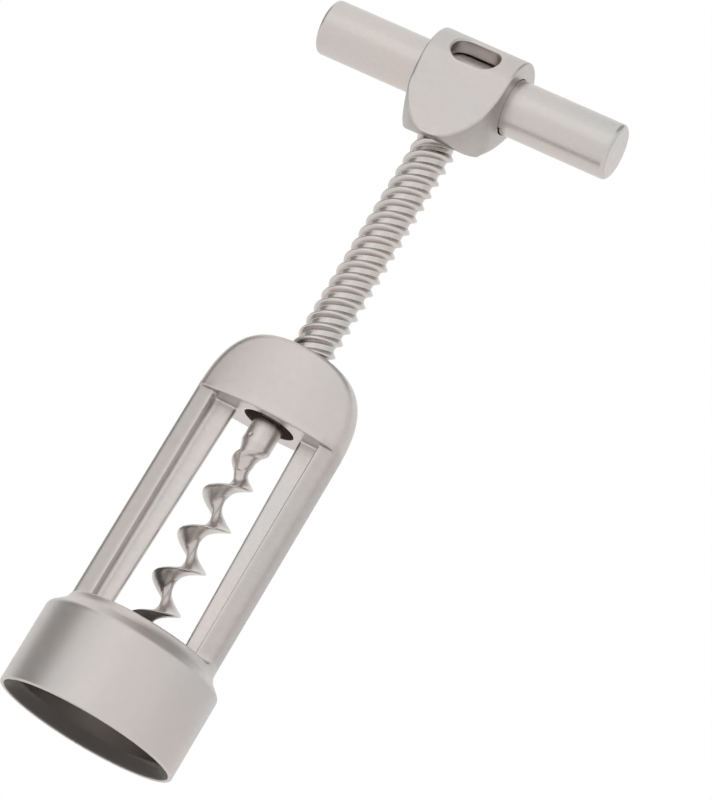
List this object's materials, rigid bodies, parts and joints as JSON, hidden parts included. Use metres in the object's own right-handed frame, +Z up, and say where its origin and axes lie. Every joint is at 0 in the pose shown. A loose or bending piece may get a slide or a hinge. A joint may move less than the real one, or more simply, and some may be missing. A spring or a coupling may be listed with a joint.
{
  "type": "bell corkscrew",
  "caption": "Bell corkscrew: a cast bell frame that stands on the bottle, a three-start screw spindle with a worm, and a hub with a sliding cross bar.",
  "frame": {"origin": "centre of the bell's mouth, in the plane of its rim", "axes": "+Z up along the spindle, X through the two legs, -Y towards the flat shield of the hub"},
  "size_m": [0.0702, 0.0396, 0.1695],
  "materials": {
    "cast_nickel": "satin nickel on a zinc casting",
    "bar_nickel": "satin nickel",
    "spindle_nickel": "satin nickel, shinier on the thread",
    "worm_nickel": "nickel on hardened steel",
    "bush_brass": "turned brass",
    "pin_steel": "plain steel"
  },
  "bodies": {
    "frame": {"bell_frame": "cast_nickel", "thread_bush": "bush_brass"},
    "washer": {"stop_washer": "pin_steel"},
    "screw": {"spindle": "spindle_nickel", "stop_ring": "pin_steel", "worm": "worm_nickel", "worm_pin": "pin_steel", "hub": "cast_nickel", "hub_pin": "pin_steel", "bar_retaining_pin": "pin_steel"},
    "bar": {"tommy_bar": "bar_nickel"}
  },
  "joints": [
    {"name": "spindle_lift", "type": "slide", "parent": "frame", "child": "washer", "axis": [0, 0, 1], "range_m": [-0.05, 0]},
    {"name": "spindle_turn", "type": "hinge", "parent": "washer", "child": "screw", "pos_m": [0, 0, 0.0786], "axis": [0, 0, 1], "range_deg": [-1904, 0]},
    {"name": "bar_slide", "type": "slide", "parent": "screw", "child": "bar", "axis": [0.9978, -0.0663, 0], "range_m": [-0.004, 0.004]}
  ],
  "couplings": [
    {"joint": "spindle_lift", "follows": "spindle_turn", "m_per_rad": 0.001504}
  ]
}
